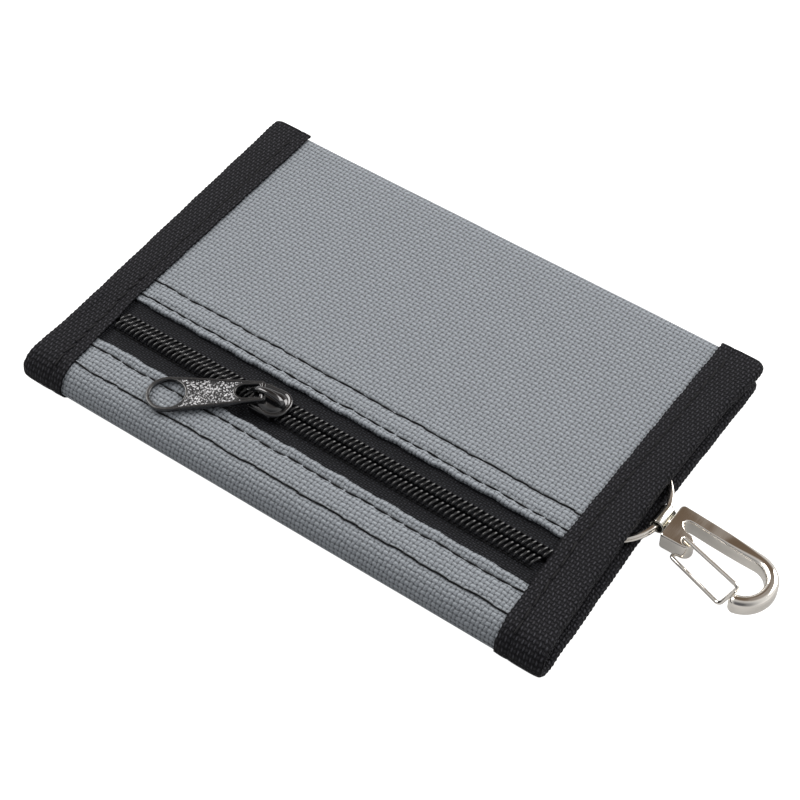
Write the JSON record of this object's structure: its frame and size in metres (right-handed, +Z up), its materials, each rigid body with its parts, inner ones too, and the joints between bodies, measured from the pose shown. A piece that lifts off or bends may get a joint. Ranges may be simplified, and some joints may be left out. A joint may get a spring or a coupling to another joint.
{
  "type": "bifold wallet",
  "caption": "Bifold cloth wallet, bound short ends, zip coin pocket across the front cover, split ring with swivel snap hook at one end.",
  "frame": {"origin": "middle of the closed wallet's underside", "axes": "+X along the fold towards the snap hook, +Y from the fold to the free edges, +Z up through the zip pocket's face"},
  "size_m": [0.1542, 0.087, 0.0121],
  "materials": {
    "outer_cloth": "coated grey basket-weave polyester",
    "lining_cloth": "thin black plain-weave nylon",
    "edge_tape": "black ribbed woven binding tape",
    "touch_fastener": "black hook and loop tape",
    "webbing": "black woven webbing",
    "zip_tape": "charcoal herringbone zip tape",
    "zip_coil": "glossy black nylon",
    "window_frame": "black vinyl edging",
    "clear_vinyl": "clear soft vinyl",
    "black_lacquer": "glossy black lacquer over cast zinc",
    "nickel": "polished nickel plate"
  },
  "bodies": {
    "back_cover": {"back_outer_panel": "outer_cloth", "bill_divider": "lining_cloth", "card_backing": "lining_cloth", "card_pocket_rear": "lining_cloth", "card_pocket_front": "lining_cloth", "back_binding_left": "edge_tape", "back_binding_right": "edge_tape", "loop_fastener": "touch_fastener", "ring_tab": "webbing"},
    "spine": {"spine_panel": "outer_cloth", "spine_binding_left": "edge_tape", "spine_binding_right": "edge_tape"},
    "front_cover": {"front_outer_panel": "outer_cloth", "front_lower_strip": "outer_cloth", "zip_tape_upper": "zip_tape", "zip_tape_lower": "zip_tape", "zip_coil_upper": "zip_coil", "zip_coil_lower": "zip_coil", "coin_pocket_lining": "lining_cloth", "front_lining": "lining_cloth", "id_window_frame": "window_frame", "id_window": "clear_vinyl", "hook_fastener": "touch_fastener", "front_binding_left": "edge_tape", "front_binding_right": "edge_tape"},
    "zip_slider": {"slider_body": "black_lacquer", "slider_bail": "black_lacquer"},
    "puller": {"pull_tab": "black_lacquer"},
    "ring": {"split_ring": "nickel"},
    "swivel": {"swivel_eye": "nickel", "swivel_rivet": "nickel"},
    "hook": {"hook_body": "nickel"},
    "gate": {"gate_wire": "nickel"}
  },
  "joints": [
    {"name": "spine_fold", "type": "hinge", "parent": "back_cover", "child": "spine", "pos_m": [0, -0.042, 0.0015], "axis": [1, 0, 0], "range_deg": [0, 90]},
    {"name": "cover_fold", "type": "hinge", "parent": "spine", "child": "front_cover", "pos_m": [0, -0.042, 0.0069], "axis": [1, 0, 0], "range_deg": [0, 90]},
    {"name": "zip_slide", "type": "slide", "parent": "front_cover", "child": "zip_slider", "axis": [1, 0, 0], "range_m": [-0.035, 0.06]},
    {"name": "puller_flip", "type": "hinge", "parent": "zip_slider", "child": "puller", "pos_m": [-0.01521, -0.0236, 0.01055], "axis": [-0.5721, 0.8202, 0], "range_deg": [0, 105]},
    {"name": "ring_swing", "type": "hinge", "parent": "back_cover", "child": "ring", "pos_m": [0.04225, 0.0004, 0.0042], "axis": [0, 0, 1], "range_deg": [-9, 9]},
    {"name": "swivel_tilt", "type": "hinge", "parent": "ring", "child": "swivel", "pos_m": [0.0644, 0.0004, 0.0042], "axis": [0, -1, 0], "range_deg": [-45, 60]},
    {"name": "hook_spin", "type": "hinge", "parent": "swivel", "child": "hook", "pos_m": [0.06635, 0.0004, 0.0042], "axis": [1, 0, 0], "continuous": true},
    {"name": "gate_swing", "type": "hinge", "parent": "hook", "child": "gate", "pos_m": [0.07065, -0.00275, 0.0042], "axis": [0, 0, 1], "range_deg": [0, 22], "stiffness_Nm_per_rad": 0.01, "springref_deg": -20.05}
  ],
  "couplings": [
    {"joint": "spine_fold", "follows": "cover_fold", "ratio": 1}
  ]
}
